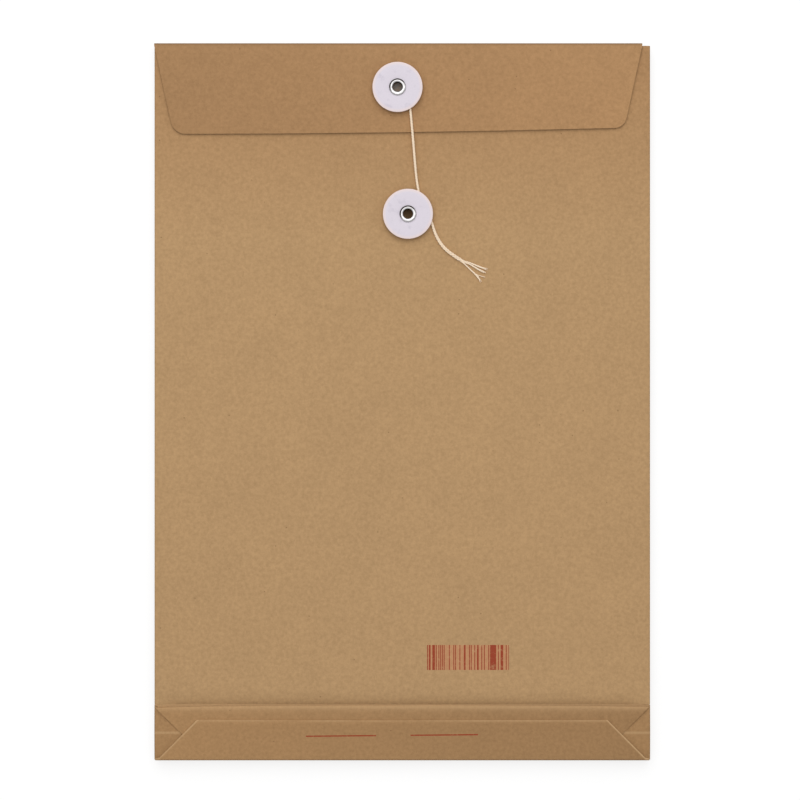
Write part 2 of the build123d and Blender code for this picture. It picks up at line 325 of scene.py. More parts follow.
class Nodes:
    """A node tree being filled: nodes are added by type and joined socket to socket."""

    def __init__(self, tree):
        self.tree = tree

    def add(self, kind, inputs=(), **settings):
        """A new node, with its inputs set or joined and its settings made."""
        node = self.tree.nodes.new(kind)
        for name, value in settings.items():
            setattr(node, name, value)
        for socket, value in dict(inputs).items():
            self.put(node.inputs[socket], value)
        return node

    def put(self, socket, value):
        """Joins another node's socket to a socket, or sets it to a plain value."""
        if isinstance(value, bpy.types.NodeSocket):
            self.tree.links.new(value, socket)
        else:
            socket.default_value = value

    def math(self, operation, *values):
        return self.add("ShaderNodeMath", enumerate(values), operation=operation).outputs[0]

    def times(self, first, second):
        return self.math("MULTIPLY", first, second)


class Finish(Nodes):
    """A material being mixed, with the textures and the colour so far that its marks build on."""

    def __init__(self, name):
        self.material = bpy.data.materials.new(name)
        self.material.use_nodes = True
        super().__init__(self.material.node_tree)
        self.shader = self.tree.nodes["Principled BSDF"]
        self.place = self.add("ShaderNodeTexCoord").outputs["Object"]
        self.pulp = self.fibre = self.body = None

    def set(self, **inputs):
        """Sets or joins sockets of the shader, named in lower case with underscores."""
        for name, value in inputs.items():
            self.put(self.shader.inputs[name.replace("_", " ").title().replace("Ior", "IOR")], value)

    def mix(self, factor, first, second, blend="MIX"):
        """Two colours mixed: each is a socket or three numbers."""
        inputs = {0: factor}
        for socket, value in ((6, first), (7, second)):
            inputs[socket] = value if isinstance(value, bpy.types.NodeSocket) else (*value, 1)
        return self.add("ShaderNodeMix", inputs, data_type="RGBA", blend_type=blend).outputs[2]

    def filtered(self, colour, by):
        """A colour multiplied by another."""
        return self.mix(1.0, colour, by, "MULTIPLY")

    def shift(self, location=(0, 0, 0), scale=(1, 1, 1)):
        """Places on the piece, moved and scaled."""
        inputs = {"Vector": self.place, "Location": location, "Scale": scale}
        return self.add("ShaderNodeMapping", inputs).outputs[0]

    def distance_from(self, centre):
        """Level distance from an upright line through a centre."""
        flat = self.shift(location=(-centre.x, -centre.y, 0), scale=(1, 1, 0))
        return self.add("ShaderNodeVectorMath", {0: flat}, operation="LENGTH").outputs["Value"]

    def noise(self, size, detail=2.0, roughness=0.5, stretch=(1, 1, 1)):
        """Noise with features of about a size in metres, 0 to 1."""
        inputs = {"Scale": 1 / size, "Detail": detail, "Roughness": roughness}
        return self.add("ShaderNodeTexNoise", {"Vector": self.shift(scale=stretch), **inputs}).outputs[0]

    def ramp(self, value, start, end):
        """A value spread from start..end to 0..1."""
        return self.remap(value, "From", start, end)

    def spread(self, value, start, end):
        """A 0 to 1 value moved into another range."""
        return self.remap(value, "To", start, end)

    def remap(self, value, side, start, end):
        inputs = {"Value": value, f"{side} Min": start, f"{side} Max": end}
        return self.add("ShaderNodeMapRange", inputs, clamp=True).outputs[0]

    def within(self, value, start, end):
        """1 between two limits and 0 outside them."""
        return self.times(self.math("GREATER_THAN", value, start), self.math("LESS_THAN", value, end))

    def axes(self):
        """Places on the piece as three numbers: across, along and up."""
        return self.add("ShaderNodeSeparateXYZ", {0: self.place}).outputs

    def bump(self, height, strength, distance):
        inputs = {"Height": height, "Strength": strength, "Distance": distance}
        self.set(normal=self.add("ShaderNodeBump", inputs).outputs[0])


def tinted(tone, factor):
    """A tone made darker or lighter."""
    return tuple(min(1.0, value * factor) for value in tone)


def rubbed(finish, cover):
    """Pale fibres on rubbed paper, which also serve as a painted highlight: how much they cover, and their
    tone.
    """
    tone = bpy.context.scene.envelope_paper.worn_and_highlight_tone
    return finish.times(cover, finish.spread(finish.fibre, 0.5, 1.0)), tone


def printed(finish, mask, tone):
    """Ink that the pulp takes up unevenly: how much it covers, and its tone."""
    taken_up = finish.times(mask, finish.ramp(finish.pulp, 0.1, 0.45))
    return finish.times(taken_up, bpy.context.scene.envelope_print.ink_cover), tone


def bars(finish):
    """Uneven upright bars in a block, from a chance pattern, with a wash of ink between them."""
    marks = bpy.context.scene.envelope_print
    across, along, _ = finish.axes()
    inside = finish.math("SUBTRACT", across, marks.bars_left)
    column = finish.math("FLOOR", finish.math("DIVIDE", inside, marks.bar_width))
    chance = finish.add("ShaderNodeTexWhiteNoise", {"W": column}, noise_dimensions="1D").outputs["Value"]
    block = finish.times(
        finish.within(across, marks.bars_left, marks.bars_right),
        finish.within(along, marks.bars_low, marks.bars_high),
    )
    bar = finish.math("GREATER_THAN", chance, marks.blanks)
    tone = finish.mix(bar, marks.wash_tone, marks.ink_tone)
    return printed(finish, finish.times(finish.math("MAXIMUM", bar, marks.wash), block), tone)


def rule(finish):
    """One thin line in two stretches, a little off level."""
    marks = bpy.context.scene.envelope_print
    across, along, _ = finish.axes()
    height = finish.math("SUBTRACT", along, finish.times(across, marks.rule_rise))
    left = finish.within(across, marks.rule_left, marks.gap_left)
    right = finish.within(across, marks.gap_right, marks.rule_right)
    line = finish.within(height, marks.rule_y - marks.rule_width / 2, marks.rule_y + marks.rule_width / 2)
    stretches = finish.math("MAXIMUM", left, right)
    return printed(finish, finish.times(stretches, line), marks.ink_tone)


def eyelet_rub(finish):
    """Grey metal rubbed off the flap's eyelet on the front under it."""
    eyelets = bpy.context.scene.envelope_eyelets
    distance = finish.distance_from(middle("flap_eyelet"))
    close_by = finish.ramp(distance, eyelets.bore * 0.8, eyelets.bore * 0.4)
    patchy = finish.spread(finish.ramp(finish.noise(1.2 * MM), 0.4, 0.6), 0.5, 0.9)
    return finish.times(close_by, patchy), eyelets.tarnish_tone


def mouth_tone(finish):
    """The front's side of the bag takes on the flap's tone towards the mouth."""
    paper = bpy.context.scene.envelope_paper
    _, along, up = finish.axes()
    near_mouth = finish.ramp(along, MOUTH_Y - paper.mouth_shade, MOUTH_Y - 12 * MM)
    on_front = finish.ramp(up, BACK_Z + 1 * MM, FRONT_Z - 1 * MM)
    flap_share = [flap / front for flap, front in zip(paper.flap_shaded_tone, paper.front_tone)]
    shaded = finish.filtered(finish.body, flap_share)
    return finish.times(near_mouth, on_front), shaded


def fold_painted_shade(finish):
    """Painted shade along the closing flap's front fold, where the rounded fold turns away from the light."""
    _, along, up = finish.axes()
    close_by = finish.ramp(along, FOLD_Y - 1.7 * MM, FOLD_Y - 0.2 * MM)
    on_front = finish.ramp(up, FLAP_Z - 1.5 * MM, FLAP_Z - 0.6 * MM)
    cover = finish.times(finish.math("POWER", close_by, 1.5), on_front)
    return cover, tinted(bpy.context.scene.envelope_paper.flap_shaded_tone, 0.6)


def fold_wear_and_highlight(finish):
    """Rubbed fibres and a painted highlight just below the block's upper fold, where it faces the light."""
    close_by = finish.ramp(finish.axes()[1], BLOCK_TOP_Y - 6 * MM, BLOCK_TOP_Y - 1 * MM)
    return rubbed(finish, finish.times(finish.math("POWER", close_by, 3.0), 0.5))


def edge_wear_and_highlight(finish):
    """Rubbed fibres and a painted highlight along the lower flap's glued edge and mitred ends, where the
    edges catch the light.
    """
    block = bpy.context.scene.envelope_block
    across, along, _ = finish.axes()
    top = high("bottom_lower_flap").y
    end = EDGE_X - block.lower_inset + BOTTOM_Y
    mitre = finish.math("ADD", finish.math("ABSOLUTE", across), along)
    glued = finish.times(finish.ramp(along, top - 1.2 * MM, top - 0.4 * MM), 0.4)
    edges = finish.math("MAXIMUM", glued, finish.ramp(mitre, end - 1.2 * MM, end - 0.5 * MM))
    patchy = finish.spread(finish.ramp(finish.noise(30 * MM), 0.35, 0.6), 0.25, 1.0)
    return rubbed(finish, finish.times(edges, patchy))


def ridge_wear_and_highlight(finish):
    """Rubbed fibres and a painted highlight on the crease across a tuck."""
    away = finish.math("ABSOLUTE", finish.math("SUBTRACT", finish.axes()[1], BLOCK_CREASE_Y))
    return rubbed(finish, finish.times(finish.ramp(away, 0.9 * MM, 0.2 * MM), 0.5))


def kraft(name, tone, ends=None, *marks):
    """Brown kraft: cloudy pulp, fibres along the sheet, sparse dark flecks, and marks one on another."""
    paper = bpy.context.scene.envelope_paper
    finish = Finish(name)
    cloud = finish.noise(paper.cloud_size, detail=3)
    pulp = finish.pulp = finish.noise(paper.pulp_size, detail=4, roughness=0.62)
    fibre = finish.fibre = finish.noise(paper.fibre_size, detail=3, stretch=(1, 0.22, 1))
    body = finish.mix(finish.ramp(cloud, 0.3, 0.7), tinted(tone, 0.975), tinted(tone, 1.025))
    grain = finish.mix(finish.ramp(pulp, 0.28, 0.72), (1.1, 1.1, 1.1), (0.88, 0.87, 0.85))
    body = finish.filtered(body, grain)
    body = finish.mix(finish.ramp(fibre, 0.62, 0.8), body, tinted(tone, 1.13))
    specks = finish.add("ShaderNodeTexVoronoi", {"Vector": finish.place, "Scale": 1 / paper.fleck_spacing})
    chance = finish.add("ShaderNodeSeparateColor", {0: specks.outputs["Color"]}).outputs[0]
    chosen = finish.math("GREATER_THAN", chance, 0.8)
    speck = finish.times(finish.ramp(specks.outputs["Distance"], 0.075, 0.03), chosen)
    body = finish.mix(finish.times(speck, 0.6), body, paper.fleck_tone)
    # Painted shading across the sheet, from the left end's share to the right end's; parts lying at the
    # back's level take the front's tone instead
    if ends:
        across, _, up = finish.axes()
        back_share = [front / own for front, own in zip(paper.front_tone, tone)]
        back = finish.filtered(body, back_share)
        end_shading = finish.spread(finish.ramp(across, -EDGE_X, EDGE_X), *ends)
        body = finish.filtered(body, end_shading)
        body = finish.mix(finish.ramp(up, FRONT_Z, BACK_Z + PAPER), body, back)
    for mark in marks:
        finish.body = body
        cover, mark_tone = mark(finish)
        body = finish.mix(cover, body, mark_tone)
    finish.set(base_color=body, roughness=finish.spread(pulp, 0.7, 0.86), specular_ior_level=0.28)
    finish.bump(finish.math("ADD", pulp, finish.times(fibre, 0.6)), 0.35, 0.06 * MM)
    return finish.material


def cut_edge():
    """Torn fibres of the paper's core along a cut edge."""
    tone = bpy.context.scene.envelope_paper.edge_tone
    finish = Finish("kraft_cut_edge")
    fibre = finish.noise(0.25 * MM, detail=4, roughness=0.7)
    finish.set(
        base_color=finish.mix(finish.ramp(fibre, 0.3, 0.75), tinted(tone, 0.84), tinted(tone, 1.08)),
        roughness=0.92,
        specular_ior_level=0.2,
    )
    finish.bump(fibre, 0.5, 0.05 * MM)
    return finish.material


def card(name, centre, radius):
    """White card with a faint smudged face, a warmer rim and the layers of the board on its edge."""
    washers = bpy.context.scene.envelope_washers
    finish = Finish(name)
    distance = finish.distance_from(centre)
    smudge = finish.noise(4.5 * MM, detail=4, roughness=0.6)
    fibre = finish.noise(0.35 * MM, detail=3)
    layers = finish.noise(0.12 * MM, detail=1, stretch=(0.08, 0.08, 1))
    face = finish.mix(finish.ramp(smudge, 0.56, 0.78), washers.card_tone, washers.smudge_tone)
    dull = finish.filtered(face, (0.955, 0.955, 0.955))
    face = finish.mix(finish.ramp(fibre, 0.3, 0.75), dull, face)
    face = finish.mix(finish.ramp(distance, radius * 0.86, radius * 0.985), face, washers.rim_tone)
    on_edge = finish.math("GREATER_THAN", distance, radius - washers.rim_radius / 3)
    edge = finish.mix(layers, tinted(washers.rim_tone, 0.72), washers.rim_tone)
    finish.set(base_color=finish.mix(on_edge, face, edge), roughness=0.62, specular_ior_level=0.35)
    finish.bump(finish.math("ADD", fibre, finish.times(layers, on_edge)), 0.25, 0.05 * MM)
    return finish.material


def plated(name, centre, flange):
    """Plated metal: duller patches, fine rolling marks, painted shade in the bore and a painted dark
    reflection near the flange's outer edge, strongest towards the upper left.
    """
    eyelets = bpy.context.scene.envelope_eyelets
    bore = eyelets.bore / 2
    finish = Finish(name)
    distance = finish.distance_from(centre)
    patch = finish.noise(1.3 * MM, detail=3)
    rolling = finish.noise(0.12 * MM, detail=2, stretch=(0.3, 0.3, 3))
    # Painted shade in the bore, and a painted dark reflection near the flange's outer edge, stronger towards
    # the upper left
    inside = finish.ramp(distance, bore + 0.12 * MM, bore + 0.02 * MM)
    across, along, _ = finish.axes()
    up_left = finish.math("SUBTRACT", along, finish.times(across, 0.5))
    level = centre.y - centre.x / 2
    dark_reflection_side = finish.spread(finish.ramp(up_left, level - 1.5 * MM, level + 1.5 * MM), 0.25, 1.0)
    outside = finish.times(finish.ramp(distance, flange - 0.85 * MM, flange - 0.55 * MM), dark_reflection_side)
    painted_dark = finish.math("MAXIMUM", inside, outside)
    metal = finish.mix(finish.ramp(patch, 0.45, 0.75), eyelets.metal_tone, eyelets.tarnish_tone)
    gloss = finish.spread(rolling, 0.2, 0.36)
    finish.set(
        base_color=finish.mix(painted_dark, metal, eyelets.painted_shade_tone),
        metallic=1.0,
        roughness=finish.math("ADD", gloss, finish.times(painted_dark, 0.3)),
    )
    finish.bump(rolling, 0.15, 0.02 * MM)
    return finish.material


def cotton():
    """Unbleached cotton with soft fibres."""
    strings = bpy.context.scene.envelope_string
    finish = Finish("twisted_cotton")
    fibre = finish.noise(0.16 * MM, detail=4, roughness=0.65)
    finish.set(
        base_color=finish.mix(finish.ramp(fibre, 0.3, 0.68), strings.shade_tone, strings.cotton_tone),
        roughness=0.88,
        specular_ior_level=0.2,
        sheen_weight=0.3,
        sheen_roughness=0.5,
    )
    finish.bump(fibre, 0.6, 0.05 * MM)
    return finish.material


def deselect():
    """Leaves nothing selected, so that an operator acts on what comes next alone."""
    bpy.ops.object.select_all(action="DESELECT")


def choose(*pieces):
    """Selects some pieces alone, with the first one active."""
    deselect()
    for piece in pieces:
        piece.select_set(True)
    bpy.context.view_layer.objects.active = pieces[0]


def pick(kind, test):
    """Selects, in the mesh in edit mode, the vertices, edges or faces whose corners all pass a test."""
    mesh = bpy.context.object.data
    bpy.ops.mesh.select_mode(type=kind)
    bpy.ops.mesh.select_all(action="DESELECT")
    shape = bmesh.from_edit_mesh(mesh)
    for item in {"VERT": shape.verts, "EDGE": shape.edges, "FACE": shape.faces}[kind]:
        corners = [item] if kind == "VERT" else item.verts
        if all(test(corner.co) for corner in corners):
            item.select_set(True)
    shape.select_flush_mode()
    bmesh.update_edit_mesh(mesh)


def edit(piece):
    """Opens a piece's mesh in edit mode."""
    choose(piece)
    bpy.ops.object.mode_set(mode="EDIT")


def face_out(piece):
    """Turns a closed piece's faces outwards."""
    edit(piece)
    bpy.ops.mesh.select_all(action="SELECT")
    bpy.ops.mesh.normals_make_consistent(inside=False)
    bpy.ops.object.mode_set(mode="OBJECT")


def copy_piece(piece, name, move=(0, 0, 0), across=1):
    """A copy with a mesh of its own, moved, or with across at -1 mirrored about the bag's middle."""
    choose(piece)
    bpy.ops.object.duplicate()
    copy = bpy.context.object
    copy.name = copy.data.name = name
    bpy.ops.transform.translate(value=move)
    bpy.ops.transform.resize(value=(across, 1, 1), center_override=(0, 0, 0))
    bpy.ops.object.transform_apply(location=True, rotation=True, scale=True)
    face_out(copy)
    return copy


def near(value, target, reach=10 * TOUCH):
    """Whether two lengths agree."""
    return abs(value - target) < reach


def settle(name):
    """Names the piece in edit mode, and puts its place into its mesh."""
    piece = bpy.context.object
    piece.name = piece.data.name = name
    bpy.ops.object.mode_set(mode="OBJECT")
    bpy.ops.object.transform_apply(location=True, rotation=True, scale=True)
    bpy.ops.object.mode_set(mode="EDIT")
    return piece


def lay_sheet(name, left, right, bottom, top, level):
    """A flat sheet, left in edit mode."""
    deselect()
    centre = ((left + right) / 2, (bottom + top) / 2, level)
    bpy.ops.mesh.primitive_plane_add(size=1, location=centre, enter_editmode=True)
    bpy.ops.transform.resize(value=(right - left, top - bottom, 1))
    return settle(name)


class Fold:
    """Carries the selected edge of a sheet on, run by run and bend by bend, as paper is folded by hand."""

    def __init__(self, point, heading, crease):
        self.point = Vector(point)
        self.heading = Vector(heading)
        self.crease = Vector(crease)
        pick("EDGE", lambda place: (place - self.point).dot(self.heading) > -TOUCH)

    def run(self, distance):
        step = self.heading * distance
        bpy.ops.mesh.extrude_region_move(TRANSFORM_OT_translate={"value": step})
        self.point += step

    def bend(self, radius, turn, steps=8):
        """Bends by a turn in radians, right-handed about the crease's direction."""
        side = self.crease.cross(self.heading) * (1 if turn > 0 else -1)
        centre = self.point + side * radius
        bpy.ops.mesh.spin(steps=steps, angle=-turn, center=centre, axis=self.crease)
        rotation = Matrix.Rotation(turn, 3, self.crease)
        self.point = centre + rotation @ (self.point - centre)
        self.heading = rotation @ self.heading


def cut(point, normal, trim=False):
    """Cuts the sheet in edit mode along a plane, and with trim drops what lies on the normal's side."""
    bpy.ops.mesh.select_all(action="SELECT")
    bpy.ops.mesh.bisect(plane_co=point, plane_no=normal, clear_outer=trim)


def cut_evenly(start, end, strips, direction):
    """Cuts the sheet in edit mode into equal strips between two places along a direction."""
    for number in range(1, strips):
        cut(direction * (start + (end - start) * number / strips), direction)


def cut_cells(sheet, step):
    """Cuts a sheet into cells along X and Y."""
    sheet.update_from_editmode()
    corners = [vertex.co for vertex in sheet.data.vertices]
    for axis, direction in enumerate((AXIS_X, AXIS_Y)):
        start = min(corner[axis] for corner in corners)
        end = max(corner[axis] for corner in corners)
        cut_evenly(start, end, ceil((end - start) / step), direction)


def limited(value):
    """A value kept between 0 and 1."""
    return min(1.0, max(0.0, value))


def smooth(value):
    """A value kept between 0 and 1, and eased at both ends."""
    value = limited(value)
    return value * value * (3 - 2 * value)


def slack(place):
    """How free the paper is to wave: 0 along the bag's outline, 1 well inside it."""
    paper = bpy.context.scene.envelope_paper
    margin = min(EDGE_X - abs(place.x), FOLD_Y - abs(place.y))
    return smooth(margin / paper.held_margin)


def apply_changes(piece):
    """Applies all of a piece's modifiers."""
    choose(piece)
    for change in list(piece.modifiers):
        bpy.ops.object.modifier_apply(modifier=change.name)


def shift_sheet(sheet, name, axis, distance, weight, texture=None, middle_level=0.0):
    """Moves a sheet's points along an axis by a distance, a weight at each place and a texture."""
    group = sheet.vertex_groups.new(name=name)
    for vertex in sheet.data.vertices:
        group.add([vertex.index], weight(vertex.co), "REPLACE")
    change = sheet.modifiers.new(name, "DISPLACE")
    change.direction = axis
    change.texture = texture
    change.texture_coords = "LOCAL"
    change.strength = distance
    change.mid_level = middle_level
    change.vertex_group = name
    apply_changes(sheet)
    sheet.vertex_groups.clear()


def clouds(name, size):
    """The cloud texture of that name, with patches of a size."""
    texture = bpy.data.textures.get(name) or bpy.data.textures.new(name, "CLOUDS")
    texture.noise_scale = size
    texture.noise_depth = 1
    return texture


def wave(sheet):
    """Sinks a sheet in broad waves and ripples that all the layers share."""
    paper = bpy.context.scene.envelope_paper
    for name, height, width in (
        ("waves", paper.wave_height, paper.wave_width),
        ("ripples", paper.ripple_height, paper.ripple_width),
    ):
        shift_sheet(sheet, name, "Z", height, slack, clouds(f"paper_{name}", width), 1.0)


def join_faces():
    """Closes the seams of the sheet in edit mode and turns its faces one way."""
    bpy.ops.mesh.select_all(action="SELECT")
    bpy.ops.mesh.remove_doubles(threshold=TOUCH)
    bpy.ops.mesh.normals_make_consistent(inside=False)
    bpy.ops.object.mode_set(mode="OBJECT")


def finish_named(name, make, *details):
    """The material of that name, mixed the first time that it is asked for."""
    return bpy.data.materials.get(name) or make(*details)


def thicken(sheet, face):
    """Gives a sheet the paper's thickness, a face finish and the finish of a cut edge."""
    sheet.data.materials.append(face)
    sheet.data.materials.append(finish_named("kraft_cut_edge", cut_edge))
    wall = sheet.modifiers.new("thickness", "SOLIDIFY")
    wall.thickness = PAPER
    wall.offset = 0
    wall.material_offset_rim = 1
    apply_changes(sheet)
    face_out(sheet)
    bpy.ops.object.shade_smooth_by_angle(angle=PAPER_SMOOTHING)


def punch(sheet, node):
    """Punches the hole for an eyelet's barrel."""
    eyelets = bpy.context.scene.envelope_eyelets
    radius = eyelets.bore / 2 + eyelets.wall
    depth = 8 * MM
    deselect()
    bpy.ops.mesh.primitive_cylinder_add(
        vertices=eyelets.sides, radius=radius, depth=depth, location=middle(node)
    )
    tool = bpy.context.object
    hole = sheet.modifiers.new("eyelet_hole", "BOOLEAN")
    hole.operation = "DIFFERENCE"
    hole.object = tool
    apply_changes(sheet)
    bpy.data.objects.remove(tool)


def plain_kraft():
    """Kraft of the back and the gussets."""
    tone = bpy.context.scene.envelope_paper.front_tone
    return finish_named("kraft_plain", kraft, "kraft_plain", tone, None, mouth_tone)


def shoulder_x():
    """Where the flat of the front ends and the soft shoulder beside the side edge starts."""
    paper = bpy.context.scene.envelope_paper
    turn = sin(paper.shoulder_angle)
    return EDGE_X - PAPER / 2 - paper.edge_radius * (1 - turn) - paper.shoulder_radius * turn


class ENVELOPE_OT_stage(bpy.types.Operator):
    """Set the camera over the envelope, the floor under it and the light"""

    bl_idname = "envelope.stage"
    bl_label = "Stage"

    def execute(self, context):
        stage = context.scene.envelope_stage
        context.scene.view_settings.view_transform = "Standard"
        self.add_camera(context, stage)
        self.add_floor(stage)
        self.add_light(stage)
        self.add_surround(context, stage)
        return {"FINISHED"}

    def add_camera(self, context, stage):
        sensor = 36.0
        distance = stage.view_width * stage.lens / sensor
        deselect()
        bpy.ops.object.camera_add(location=(stage.view_x, stage.view_y, high("front_panel").z + distance))
        camera = context.object
        camera.name = "photo_camera"
        camera.data.lens = stage.lens
        camera.data.sensor_width = sensor
        context.scene.camera = camera

    def seen(self, nodes):
        """1 for rays from the camera and those that metal or glass sends on."""
        rays = nodes.add("ShaderNodeLightPath").outputs
        sent_on = nodes.math("MAXIMUM", rays["Is Glossy Ray"], rays["Is Transmission Ray"])
        return nodes.math("MAXIMUM", rays["Is Camera Ray"], sent_on)

    def add_floor(self, stage):
        deselect()
        bpy.ops.mesh.primitive_plane_add(size=stage.floor_size, location=(0, 0, -stage.floor_gap))
        floor = bpy.context.object
        floor.name = "floor"
        finish = Finish("pale_floor")
        glow = finish.times(self.seen(finish), stage.floor_glow)
        finish.set(base_color=(*stage.floor_tone, 1), roughness=0.9, specular_ior_level=0.1)
        finish.set(emission_color=(1, 1, 1, 1), emission_strength=glow)
        floor.data.materials.append(finish.material)

    def add_light(self, stage):
        deselect()
        place = Vector((stage.key_x, stage.key_y, stage.key_z))
        aim = (-place).to_track_quat("-Z", "Y").to_euler()
        bpy.ops.object.light_add(type="AREA", location=place, rotation=aim)
        key = bpy.context.object
        key.name = "key_light"
        key.data.energy = stage.key_power
        key.data.size = stage.key_size

    def add_surround(self, context, stage):
        world = bpy.data.worlds.new("white_surround")
        world.use_nodes = True
        context.scene.world = world
        nodes = Nodes(world.node_tree)
        background = world.node_tree.nodes["Background"].inputs
        nodes.put(background["Color"], (1, 1, 1, 1))
        strength = nodes.math("MULTIPLY_ADD", self.seen(nodes), 1 - stage.ambient, stage.ambient)
        nodes.put(background["Strength"], strength)


def string_turns(strings):
    """Points of the turns round the flap eyelet: quarter arcs whose radius grows at a steady rate."""
    eyelets = bpy.context.scene.envelope_eyelets
    steps = 5
    first = eyelets.bore / 2 + eyelets.wall + strings.barrel_gap + strings.diameter / 2
    growth = (strings.diameter + strings.turn_gap) / 4
    centre = Vector((0, 0, 0))
    points = []
    for turn in range(strings.quarter_turns):
        radius = first + turn * growth
        start = pi / 2 - pi / 2 * turn
        for step in range(steps):
            bearing = start - pi / 2 * step / steps
            points.append(centre + Vector((cos(bearing), sin(bearing), 0)) * radius)
        centre -= Vector((cos(start - pi / 2), sin(start - pi / 2), 0)) * growth
    end = pi / 2 - pi / 2 * strings.quarter_turns
    last = first + (strings.quarter_turns - 1) * growth
    points.append(centre + Vector((cos(end), sin(end), 0)) * (last + growth))
    eye = middle("flap_eyelet")
    level = low("string_tie").z + strings.diameter / 2
    turned = Matrix.Rotation(strings.heading, 3, "Z")
    return [turned @ point + Vector((eye.x, eye.y, level)) for point in points]


def new_curve(name, kind, points):
    """A curve of one spline of a kind, and that spline."""
    curve = bpy.data.curves.new(name, "CURVE")
    curve.dimensions = "3D"
    spline = curve.splines.new(kind)
    spline.points.add(len(points) - 1)
    for control, point in zip(spline.points, points):
        control.co = (*point, 1)
    return curve, spline


def spline_points(points, step):
    """Points at an even step along the smooth line that a route's points control, and its length."""
    curve, spline = new_curve("route", "NURBS", points)
    spline.resolution_u = 24
    spline.order_u = 3
    spline.use_endpoint_u = True
    holder = bpy.data.objects.new("route", curve)
    mesh = bpy.data.meshes.new_from_object(holder)
    line = np.array([vertex.co for vertex in mesh.vertices])
    bpy.data.meshes.remove(mesh)
    bpy.data.objects.remove(holder)
    bpy.data.curves.remove(curve)
    along = np.concatenate([[0], np.cumsum(np.linalg.norm(np.diff(line, axis=0), axis=1))])
    even = np.linspace(0, along[-1], ceil(along[-1] / step) + 1)
    spaced = np.stack([np.interp(even, along, line[:, axis]) for axis in range(3)], axis=1)
    return [Vector(point) for point in spaced], along[-1]


def sides_of(line, number):
    """Two directions square to a line at one of its points: across, and as nearly up as the line allows."""
    ahead = line[min(number + 1, len(line) - 1)] - line[max(number - 1, 0)]
    across = ahead.cross(AXIS_Z).normalized()
    return across, across.cross(ahead).normalized()


def yarn(name, points, radius, sides=2):
    """A thin round yarn along points, as a curve."""
    curve, _ = new_curve(name, "POLY", points)
    curve.bevel_depth = radius
    curve.bevel_resolution = sides
    curve.use_fill_caps = True
    piece = bpy.data.objects.new(name, curve)
    bpy.context.collection.objects.link(piece)
    return piece


def bundle(name, yarns):
    """Yarns made one mesh."""
    choose(*yarns)
    bpy.ops.object.convert(target="MESH")
    bpy.ops.object.join()
    piece = bpy.context.object
    piece.name = piece.data.name = name
    bpy.ops.object.shade_smooth()
    piece.data.materials.clear()
    piece.data.materials.append(finish_named("twisted_cotton", cotton))
    return piece


class ENVELOPE_OT_string(bpy.types.Operator):
    """Twist the cotton string, wind it on its eyelet and fray its end"""

    bl_idname = "envelope.string"
    bl_label = "String"

    def execute(self, context):
        strings = context.scene.envelope_string
        turns = string_turns(strings)
        route = turns + [Vector(point) * MM for point in STRING_ROUTE]
        line, total = spline_points(route, strings.step)
        cord = self.twist(strings, line)
        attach(cord, "flap")
        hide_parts("string_tie", "string_run")
        strands = [self.fray(strings, route, place, name) for place, name in zip((1, 0, -1), STRAND_ROUTES)]
        return {"FINISHED"}

    def twist(self, strings, line):
        """The yarns, laid round each other."""
        yarn_share = 0.3
        radius = strings.diameter * yarn_share
        offset = strings.diameter / 2 - radius
        yarns = []
        for ply in range(strings.plies):
            points = []
            for number, point in enumerate(line):
                across, upward = sides_of(line, number)
                bearing = 2 * pi * (number * strings.step / strings.lay + ply / strings.plies)
                to_end = (len(line) - 1 - number) * strings.step
                parted = offset + strings.loosening * smooth(1 - to_end / strings.loose_length)
                points.append(point + across * cos(bearing) * parted + upward * sin(bearing) * offset)
            yarns.append(yarn("string_yarn", points, radius))
        return bundle("cotton_string", yarns)

    def on_paper(self, route):
        """A strand's route at its height on the front."""
        return [Vector((*point, STRAND_Z)) * MM for point in route]

    def fray(self, strings, route, place, name):
        """One strand of the undone end, its fibres spreading towards their tips."""
        heading = (route[-1] - route[-2]).normalized()
        side = AXIS_Z.cross(heading)
        drop = STRAND_Z * MM - route[-1].z
        start = route[-1] + side * strings.strand_spacing * place
        lead = start + heading * strings.strand_lead + AXIS_Z * drop / 2
        line, _ = spline_points([start, lead] + self.on_paper(STRAND_ROUTES[name]), strings.step)
        # How far fibres end apart, how they turn, fan out and flare, and how thick a stray one is
        shorter = 0.06
        twist = 5.0
        fan = 2.4
        flare = 2.5
        stray_swell = 1.4
        yarns = []
        for fibre in range(strings.filaments):
            reach = 1 - shorter * ((fibre * 3 + place) % 4)
            kept = line[: max(4, int(len(line) * reach))]
            bearing = 2 * pi * fibre / strings.filaments + place
            strand = []
            for number, point in enumerate(kept):
                along = number / (len(line) - 1)
                across, upward = sides_of(line, number)
                outward = 0.5 + 0.5 * cos(fibre * fan)
                spread = strings.strand_radius + strings.fray * along ** flare * outward
                turn = bearing + twist * along
                height = abs(sin(turn)) * strings.strand_radius
                strand.append(point + across * cos(turn) * spread + upward * height)
            yarns.append(yarn("string_fibre", strand, strings.filament_radius, sides=1))
        if name in STRAY_ROUTES:
            stray, _ = spline_points(self.on_paper(STRAY_ROUTES[name]), strings.step)
            yarns.append(yarn("string_fibre", stray, strings.filament_radius * stray_swell, sides=1))
        piece = bundle(name + "_fibres", yarns)
        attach(piece, "flap")
        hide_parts(name)
        return piece


